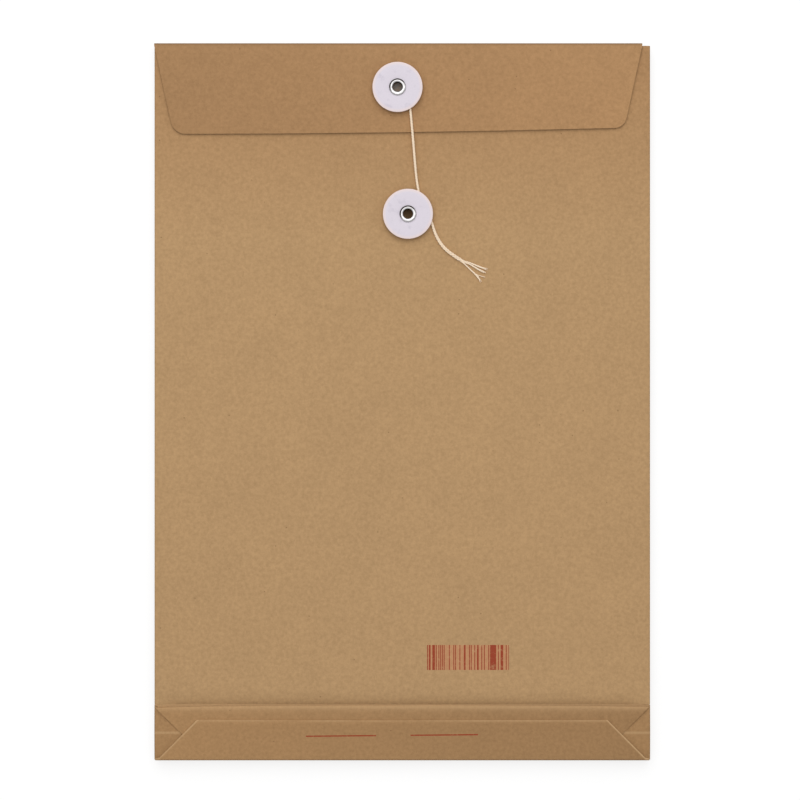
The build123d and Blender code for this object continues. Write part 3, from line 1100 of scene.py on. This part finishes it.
class ENVELOPE_OT_back(bpy.types.Operator):
    """Lay the two halves of the back, lapped along their glued seam"""

    bl_idname = "envelope.back"
    bl_label = "Back"

    def execute(self, context):
        paper = context.scene.envelope_paper
        flap = context.scene.envelope_flap
        top = FOLD_Y - PAPER / 2 - flap.fold_radius
        left = lay_sheet("back_sheet_left", -shoulder_x(), high("back_panel_left").x, BACK_END_Y, top, BACK_Z)
        self.close(left, paper, "back_panel_left")
        seam_gap = 0.3 * MM
        step_x = high("back_panel_left").x + seam_gap + paper.seam_climb
        right = lay_sheet("back_sheet_right", step_x, shoulder_x(), BACK_END_Y, top, BACK_Z)
        fold = Fold((step_x, 0, BACK_Z), -AXIS_X, -AXIS_Y)
        rise = Vector((-paper.seam_climb, 0, PAPER))
        fold.heading = rise.normalized()
        fold.run(rise.length)
        fold.heading = -AXIS_X
        fold.run(paper.seam_lap)
        self.close(right, paper, "back_panel_right")
        return {"FINISHED"}

    def close(self, sheet, paper, node):
        cut_cells(sheet, paper.cell * 2)
        join_faces()
        thicken(sheet, plain_kraft())
        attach(sheet, "bag")
        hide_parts(node)


class ENVELOPE_OT_gussets(bpy.types.Operator):
    """Fold the two side gussets, from the front's shoulder in to the crease and out to the back"""

    bl_idname = "envelope.gussets"
    bl_label = "Gussets"

    def execute(self, context):
        right = self.fold(context.scene.envelope_paper)
        thicken(right, plain_kraft())
        left = copy_piece(right, "gusset_left", across=-1)
        for sheet in (left, right):
            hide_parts(f"{sheet.name}_back_ply", f"{sheet.name}_front_ply")
            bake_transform(sheet)
        return {"FINISHED"}

    def fold(self, paper):
        start = shoulder_x()
        sheet = lay_sheet("gusset_right", start - GUSSET_STRIP, start, BACK_END_Y, MOUTH_Y, FRONT_Z)
        middle_z = (FRONT_Z + BACK_Z) / 2
        shoulder = paper.shoulder_angle
        centre_z = FRONT_Z - paper.shoulder_radius * (1 - cos(shoulder)) - paper.edge_radius * cos(shoulder)
        tilt = asin((centre_z - middle_z - paper.edge_radius - paper.crease_radius) / paper.gusset_depth)
        edge = pi - tilt - shoulder
        fold = Fold((start, 0, FRONT_Z), AXIS_X, AXIS_Y)
        fold.bend(paper.shoulder_radius, shoulder, steps=5)
        fold.bend(paper.edge_radius, edge, steps=10)
        fold.run(paper.gusset_depth)
        fold.bend(paper.crease_radius, 2 * tilt - pi)
        fold.run(paper.gusset_depth)
        fold.bend(paper.edge_radius, edge, steps=10)
        fold.bend(paper.shoulder_radius, shoulder, steps=5)
        fold.run(GUSSET_STRIP)
        cut((0, LIFT_Y, 0), AXIS_Y)
        pick("FACE", lambda place: place.y < LIFT_Y + TOUCH and place.z > middle_z - TOUCH)
        bpy.ops.mesh.delete(type="FACE")
        cut_evenly(BACK_END_Y, MOUTH_Y, strips=12, direction=AXIS_Y)
        join_faces()
        return sheet


class ENVELOPE_OT_front(bpy.types.Operator):
    """Lay the front, let it wave and sink beside the block bottom, and punch its eyelet hole"""

    bl_idname = "envelope.front"
    bl_label = "Front"

    def execute(self, context):
        paper = context.scene.envelope_paper
        edge = shoulder_x() - GUSSET_STRIP
        sheet = lay_sheet("front_sheet", -edge, edge, LIFT_Y, MOUTH_Y, FRONT_Z)
        cut_cells(sheet, paper.cell)
        cut_evenly(LIFT_Y, LIFT_Y + paper.dip_length, strips=8, direction=AXIS_Y)
        join_faces()
        wave(sheet)
        shift_sheet(sheet, "dip", "Z", -paper.dip_depth, dip)
        face = kraft("kraft_front", paper.front_tone, None, mouth_tone, eyelet_rub, bars)
        thicken(sheet, face)
        punch(sheet, "body_eyelet")
        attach(sheet, "front")
        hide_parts("front_panel")
        return {"FINISHED"}


def dip(place):
    """How far the front sinks beside the block bottom: most at its end, nothing at the side edges."""
    paper = bpy.context.scene.envelope_paper
    side_reach = 8 * MM
    inside = limited((shoulder_x() - abs(place.x)) / side_reach)
    return inside * limited((LIFT_Y + paper.dip_length - place.y) / paper.dip_length) ** 2


class ENVELOPE_OT_block_bottom(bpy.types.Operator):
    """Fold the block bottom: two corner tucks, the upper flap and the lower flap over them"""

    bl_idname = "envelope.block_bottom"
    bl_label = "Block bottom"

    def execute(self, context):
        paper = context.scene.envelope_paper
        block = context.scene.envelope_block
        self.upper_flap(paper, block)
        self.lower_flap(paper, block)
        self.tucks(paper, block)
        return {"FINISHED"}

    def close(self, sheet, paper, node, ends, marks, *shifts):
        """Waves a folded sheet left in edit mode, and gives it its thickness and its node."""
        block = bpy.context.scene.envelope_block
        cut_cells(sheet, paper.cell * 0.75)
        join_faces()
        for axis, distance, weight in shifts:
            shift_sheet(sheet, "shape", axis, distance, weight)
        wave(sheet)
        strays = clouds("fold_strays", block.wander_width)
        shift_sheet(sheet, "strays", "Y", block.edge_wander, slack, strays, 0.5)
        # The block's kraft: a tone darker than the front and shaded ends as painted shade, pale lines as wear
        # and painted highlight
        face = kraft(f"kraft_{sheet.name}", paper.block_shaded_tone, ends, *marks)
        thicken(sheet, face)
        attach(sheet, "bag")
        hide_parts(node)

    def upper_flap(self, paper, block):
        """The front wall's end: down to the crease, back up and over a soft shoulder into the upper flap."""
        wide = EDGE_X - block.upper_inset
        lead = 1 * MM
        start = LIFT_Y - lead
        sheet = lay_sheet("block_upper_flap", -wide, wide, start, LIFT_Y, FRONT_Z)
        fold = Fold((0, start, FRONT_Z), -AXIS_Y, AXIS_X)
        fold.run(start - BLOCK_CREASE_Y - block.crease_radius)
        fold.bend(block.crease_radius, -pi, steps=6)
        crease_z = FRONT_Z + block.crease_radius
        shoulder_drop = block.shoulder_radius * (1 - cos(block.shoulder_angle))
        fold_radius = (UPPER_Z - fold.point.z - shoulder_drop) / (1 + cos(block.shoulder_angle))
        fold.run(BLOCK_TOP_Y - PAPER / 2 - fold_radius - fold.point.y)
        fold.bend(fold_radius, pi - block.shoulder_angle, steps=10)
        fold.bend(block.shoulder_radius, block.shoulder_angle, steps=6)
        fold.run(fold.point.y - (BLOCK_TOP_Y - block.upper_reach))
        for side in (-1, 1):
            cut((side * wide, LIFT_Y, 0), (side, -1, 0), trim=True)

        def inner_ply(place):
            reach = (place.y - BLOCK_CREASE_Y) / (LIFT_Y - BLOCK_CREASE_Y)
            return dip(Vector((place.x, LIFT_Y, 0))) * max(0.0, reach) if place.z < crease_z else 0.0

        def towards_ends(place, side):
            reach = limited((place.y - BLOCK_CREASE_Y) / (BLOCK_TOP_Y - BLOCK_CREASE_Y))
            turned = 1.0 if place.z > UPPER_Z - PAPER else reach if place.z > crease_z else 0.0
            return turned * (max(0.0, side * place.x) / EDGE_X) ** 2

        self.close(
            sheet,
            paper,
            "bottom_upper_flap",
            paper.block_shading,
            (fold_wear_and_highlight,),
            ("Y", -block.fold_bow_left, lambda place: towards_ends(place, -1)),
            ("Y", -block.fold_bow_right, lambda place: towards_ends(place, 1)),
            ("Z", -paper.dip_depth, inner_ply),
        )

    def lower_flap(self, paper, block):
        """The back wall's end: round the bottom edge and over the upper flap, with mitred ends."""
        wide = EDGE_X - block.lower_inset
        end = high("bottom_lower_flap")
        ear_y = BOTTOM_Y + PAPER / 2 + block.bottom_radius + block.lower_ear
        sheet = lay_sheet("block_lower_flap", -wide, wide, ear_y, end.y, LOWER_Z)
        for side in (-1, 1):
            cut((side * wide, BOTTOM_Y, 0), (side, 1, 0), trim=True)
        swell_cuts = (0.4, 0.8, 1.2, 2, 3, 6)
        for distance in swell_cuts:
            cut((0, end.y - distance * MM, 0), AXIS_Y)
        fold = Fold((0, ear_y, LOWER_Z), -AXIS_Y, AXIS_X)
        fold.run(block.lower_ear)
        widen = end.x / (wide - (ear_y - BOTTOM_Y))
        bpy.ops.transform.resize(value=(widen, 1, 1), center_override=(0, 0, 0))
        fold.bend(block.bottom_radius, pi / 2)
        fold.run(LOWER_Z - BACK_Z - 2 * block.bottom_radius)
        fold.bend(block.bottom_radius, pi / 2)
        fold.run(BACK_END_Y - fold.point.y)

        def behind_edge(place):
            rise = 1.2 * MM
            fall = 7 * MM
            behind = end.y - place.y
            if place.z < LOWER_Z - PAPER:
                return 0.0
            return min(1.0, behind / rise) * smooth(1 - (behind - rise) / fall)

        swell = ("Z", block.edge_swell, behind_edge)
        self.close(sheet, paper, "bottom_lower_flap", paper.block_shading, (edge_wear_and_highlight, rule), swell)

    def tucks(self, paper, block):
        """Two tucks under the flaps, ridged across their middle and turned down at the side edge."""
        apex_x = low("corner_tuck_right").x
        turn_x = EDGE_X - PAPER / 2 - block.tuck_radius
        bottom_gap = 0.2 * MM
        bottom = low("corner_tuck_right").y + bottom_gap
        right = lay_sheet("block_tuck_right", apex_x, turn_x, bottom, BLOCK_TOP_Y, TUCK_Z)
        fold = Fold((turn_x, 0, TUCK_Z), AXIS_X, AXIS_Y)
        fold.bend(block.tuck_radius, pi / 2)
        fold.run(fold.point.z - low("corner_tuck_right").z)
        cut((apex_x, BLOCK_CREASE_Y, 0), (-1, 1, 0), trim=True)
        cut((0, BLOCK_CREASE_Y, 0), AXIS_Y)
        pick("VERT", lambda place: near(place.y, BLOCK_CREASE_Y) and place.z > TUCK_Z - block.tuck_radius)
        bpy.ops.transform.translate(value=(0, 0, block.tuck_ridge))
        bpy.ops.object.mode_set(mode="OBJECT")
        left = copy_piece(right, "block_tuck_left", across=-1)
        for sheet, node in ((left, "corner_tuck_left"), (right, "corner_tuck_right")):
            edit(sheet)
            self.close(sheet, paper, node, (1.0, 1.0), (ridge_wear_and_highlight,))


class ENVELOPE_OT_closing_flap(bpy.types.Operator):
    """Fold the closing flap: the crease at the back, the narrow spine and the flap with its round corners"""

    bl_idname = "envelope.closing_flap"
    bl_label = "Closing flap"

    def execute(self, context):
        paper = context.scene.envelope_paper
        flap = context.scene.envelope_flap
        half_z = (BACK_Z + FLAP_Z) / 2
        turn_y = FOLD_Y - PAPER / 2 - flap.fold_radius
        # The flap's kraft, with painted shade: a tone darker than the front, shaded ends and a dark line
        # along the front fold
        face = kraft("kraft_flap", paper.flap_shaded_tone, paper.flap_shading, fold_painted_shade)
        spine = self.spine(paper, flap, turn_y, half_z)
        thicken(spine, face)
        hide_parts("flap_spine")
        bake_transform(spine)
        sheet = self.flap(paper, flap, turn_y, half_z)
        thicken(sheet, face)
        punch(sheet, "flap_eyelet")
        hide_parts("top_flap")
        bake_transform(sheet)
        return {"FINISHED"}

    def spine(self, paper, flap, turn_y, half_z):
        margin = 0.2 * MM
        sheet = lay_sheet("flap_spine_fold", FLAP_LEFT_X, FLAP_RIGHT_X, turn_y - margin, turn_y, BACK_Z)
        fold = Fold((0, turn_y, BACK_Z), AXIS_Y, AXIS_X)
        fold.bend(flap.fold_radius, pi / 2)
        fold.run(half_z - fold.point.z)
        cut_cells(sheet, paper.cell * 2)
        join_faces()
        return sheet

    def flap(self, paper, flap, turn_y, half_z):
        low_left = Vector((FLAP_LEFT_X + flap.taper_left, FOLD_Y - flap.depth_left, 0))
        low_right = Vector((FLAP_RIGHT_X - flap.taper_right, FOLD_Y - flap.depth_right, 0))
        trimmed = 5 * MM
        deepest = FOLD_Y - max(flap.depth_left, flap.depth_right) - trimmed
        sheet = lay_sheet("closing_flap", FLAP_LEFT_X, FLAP_RIGHT_X, deepest, turn_y, FLAP_Z)
        for corner, top_x, side in ((low_left, FLAP_LEFT_X, -1), (low_right, FLAP_RIGHT_X, 1)):
            lean = Vector((top_x, FOLD_Y, 0)) - corner
            cut(corner, (side * lean.y, -side * lean.x, 0), trim=True)
        self.bow_edge(flap, low_left, low_right)
        for corner, radius in ((low_left, flap.corner_left), (low_right, flap.corner_right)):
            self.round_corner(corner, radius)
        fold = Fold((0, turn_y, FLAP_Z), AXIS_Y, AXIS_X)
        fold.bend(flap.fold_radius, -pi / 2)
        fold.run(fold.point.z - half_z)
        cut_cells(sheet, paper.cell)
        join_faces()
        wave(sheet)
        return sheet

    def bow_edge(self, flap, low_left, low_right):
        """Trims the free edge along the tangents of a shallow arc."""
        chord = low_right - low_left
        across = chord.normalized()
        outward = Vector((across.y, -across.x, 0))
        radius = chord.length ** 2 / (8 * flap.edge_bow) + flap.edge_bow / 2
        centre = low_left + chord / 2 + outward * (flap.edge_bow - radius)
        reach = asin(chord.length / 2 / radius)
        tangents = 9
        for number in range(tangents):
            bearing = reach * (2 * number / (tangents - 1) - 1)
            normal = outward * cos(bearing) + across * sin(bearing)
            cut(centre + normal * radius, normal, trim=True)

    def round_corner(self, corner, radius):
        """Rounds the sharp corner that lies nearest to a place."""
        shape = bmesh.from_edit_mesh(bpy.context.object.data)
        nearest = min(shape.verts, key=lambda vertex: (vertex.co.xy - corner.xy).length)
        place = nearest.co.copy()
        ends = [edge.other_vert(nearest).co - place for edge in nearest.link_edges]
        opening = ends[0].angle(ends[1])
        pick("VERT", lambda here: (here - place).length < TOUCH)
        bpy.ops.mesh.bevel(offset=radius / tan(opening / 2), segments=8, affect="VERTICES")


class ENVELOPE_OT_washers(bpy.types.Operator):
    """Cut the two card washers, round their rims and press their middles down"""

    bl_idname = "envelope.washers"
    bl_label = "Washers"

    def execute(self, context):
        washers = context.scene.envelope_washers
        eyelets = context.scene.envelope_eyelets
        lowest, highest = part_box("flap_washer")
        radius = (highest.x - lowest.x) / 2
        upper = self.cut_washer(washers, eyelets, radius, highest.z - lowest.z)
        lower = copy_piece(upper, "body_washer_card", move=middle("body_washer") - middle("flap_washer"))
        for piece, node, body in (
            (upper, "flap_washer", "upper_washer"),
            (lower, "body_washer", "lower_washer"),
        ):
            piece.data.materials.append(card(f"{node}_board", middle(node), radius))
            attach(piece, body)
            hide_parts(node)
        return {"FINISHED"}

    def cut_washer(self, washers, eyelets, radius, thickness):
        centre = middle("flap_washer")
        barrel_gap = 0.05 * MM
        slope = 0.5 * MM
        pressed = washers.seat_radius - slope
        outer_ring = radius * 0.8
        reach = 0.1 * MM
        hole = eyelets.bore / 2 + eyelets.wall + barrel_gap
        deselect()
        bpy.ops.mesh.primitive_cylinder_add(
            vertices=washers.sides, radius=radius, depth=thickness, location=centre, enter_editmode=True
        )
        piece = settle("flap_washer_card")

        def out(place):
            return hypot(place.x - centre.x, place.y - centre.y)

        pick("FACE", lambda place: place.z > centre.z)
        self.inset_rings(radius, (outer_ring, washers.seat_radius, pressed, hole))
        bpy.ops.mesh.delete(type="FACE")
        pick("FACE", lambda place: place.z < centre.z)
        self.inset_rings(radius, (hole,))
        bpy.ops.mesh.delete(type="FACE")
        pick("EDGE", lambda place: near(out(place), hole, reach))
        bpy.ops.mesh.bridge_edge_loops()
        pick("VERT", lambda place: out(place) < pressed + reach and place.z > centre.z)
        bpy.ops.transform.translate(value=(0, 0, -washers.seat_depth))
        pick("EDGE", lambda place: out(place) > radius - reach)
        self.keep_level_edges()
        bpy.ops.mesh.bevel(offset=washers.rim_radius, segments=4, profile=0.5)
        join_faces()
        bpy.ops.object.shade_smooth_by_angle(angle=CARD_SMOOTHING)
        return piece

    def inset_rings(self, radius, rings):
        """Insets the selected round face to one ring after another."""
        for ring in rings:
            bpy.ops.mesh.inset(thickness=radius - ring, depth=0)
            radius = ring

    def keep_level_edges(self):
        """Drops the upright edges from the selection."""
        mesh = bpy.context.object.data
        shape = bmesh.from_edit_mesh(mesh)
        for edge in shape.edges:
            if not near(edge.verts[0].co.z, edge.verts[1].co.z):
                edge.select_set(False)
        bmesh.update_edit_mesh(mesh)


class ENVELOPE_OT_eyelets(bpy.types.Operator):
    """Roll the two eyelets: a curled flange, a barrel and a roll clinched under the paper"""

    bl_idname = "envelope.eyelets"
    bl_label = "Eyelets"

    def execute(self, context):
        eyelets = context.scene.envelope_eyelets
        upper = self.roll(eyelets, "flap_eyelet")
        lower = copy_piece(upper, "body_eyelet_roll", move=high("body_eyelet") - high("flap_eyelet"))
        self.shorten(lower)
        for piece, node, body in ((upper, "flap_eyelet", "flap"), (lower, "body_eyelet", "front")):
            flange = high(node).x - middle(node).x
            piece.data.materials.append(plated(f"{node}_plating", middle(node), flange))
            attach(piece, body)
            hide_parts(node)
        return {"FINISHED"}

    def shorten(self, piece):
        """Brings the lower roll of a copied eyelet to the underside of the paper that it clinches."""
        upper = high("flap_eyelet").z - low("flap_eyelet").z
        lower = high("body_eyelet").z - low("body_eyelet").z
        edit(piece)
        pick("VERT", lambda place: place.z < high("body_eyelet").z - lower / 2)
        bpy.ops.transform.translate(value=(0, 0, upper - lower))
        bpy.ops.object.mode_set(mode="OBJECT")

    def section(self, eyelets, node):
        """Radius and height of each ring, once round the section of the eyelet."""
        lowest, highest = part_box(node)
        bore = eyelets.bore / 2
        barrel = bore + eyelets.wall
        flange = (highest.x - lowest.x) / 2
        clinch = eyelets.clinch_diameter / 2
        seat = highest.z - eyelets.roll_height
        under = lowest.z + eyelets.clinch_height
        # Share of a roll's height that lies between its seat and the middle of its curl
        foot = 0.34
        first, last, step = -25, 180, 15
        curl = [radians(bearing) for bearing in range(first, last + 1, step)]
        rings = [(barrel, seat)]
        for inner, outer, level, height, turns in (
            (bore, flange, seat, eyelets.roll_height, 1),
            (bore, clinch, under, -eyelets.clinch_height, -1),
        ):
            middle_radius = (inner + outer) / 2
            half = (outer - inner) / 2
            for turn in curl[::turns]:
                lift = foot + (1 - foot) * sin(turn)
                rings.append((middle_radius + half * cos(turn), level + height * lift))
        rings.append((barrel, under))
        return rings

    def roll(self, eyelets, node):
        centre = middle(node)
        rings = self.section(eyelets, node)
        deselect()
        radius, level = rings[0]
        bpy.ops.mesh.primitive_circle_add(
            vertices=eyelets.sides, radius=radius, location=(centre.x, centre.y, level), enter_editmode=True
        )
        piece = settle(f"{node}_roll")
        bpy.ops.mesh.select_mode(type="EDGE")
        for next_radius, next_level in rings[1:]:
            bpy.ops.mesh.extrude_region_move(TRANSFORM_OT_translate={"value": (0, 0, next_level - level)})
            grow = next_radius / radius
            bpy.ops.transform.resize(value=(grow, grow, 1), center_override=(centre.x, centre.y, next_level))
            radius, level = next_radius, next_level
        bpy.ops.mesh.select_all(action="DESELECT")
        bpy.ops.mesh.select_non_manifold()
        bpy.ops.mesh.bridge_edge_loops()
        join_faces()
        bpy.ops.object.shade_smooth_by_angle(angle=METAL_SMOOTHING)
        return piece


SETTINGS = {
    "envelope_paper": EnvelopePaper,
    "envelope_flap": EnvelopeFlap,
    "envelope_block": EnvelopeBlock,
    "envelope_washers": EnvelopeWashers,
    "envelope_eyelets": EnvelopeEyelets,
    "envelope_string": EnvelopeString,
    "envelope_print": EnvelopePrint,
    "envelope_stage": EnvelopeStage,
}
OPERATORS = (
    ENVELOPE_OT_stage,
    ENVELOPE_OT_string,
    ENVELOPE_OT_back,
    ENVELOPE_OT_gussets,
    ENVELOPE_OT_front,
    ENVELOPE_OT_block_bottom,
    ENVELOPE_OT_closing_flap,
    ENVELOPE_OT_washers,
    ENVELOPE_OT_eyelets,
)


class ENVELOPE_PT_sidebar(bpy.types.Panel):
    """Lists the envelope's pieces and their sizes and colours"""

    bl_idname = "ENVELOPE_PT_sidebar"
    bl_label = "String Tie Envelope"
    bl_space_type = "VIEW_3D"
    bl_region_type = "UI"
    bl_category = "Envelope"

    def draw(self, context):
        for operator in OPERATORS:
            self.layout.operator(operator.bl_idname)
        for name in SETTINGS:
            box = self.layout.box()
            group = getattr(context.scene, name)
            for item in group.bl_rna.properties:
                if item.identifier not in ("rna_type", "name"):
                    box.prop(group, item.identifier)


def register():
    for kind in (*SETTINGS.values(), *OPERATORS, ENVELOPE_PT_sidebar):
        bpy.utils.register_class(kind)
    for name, kind in SETTINGS.items():
        setattr(bpy.types.Scene, name, PointerProperty(type=kind))


def unregister():
    for name in SETTINGS:
        delattr(bpy.types.Scene, name)
    for kind in (ENVELOPE_PT_sidebar, *reversed(OPERATORS), *reversed(SETTINGS.values())):
        bpy.utils.unregister_class(kind)


def main():
    register()
    for operator in OPERATORS:
        group, name = operator.bl_idname.split(".")
        getattr(getattr(bpy.ops, group), name)()


if __name__ == "__main__":
    main()
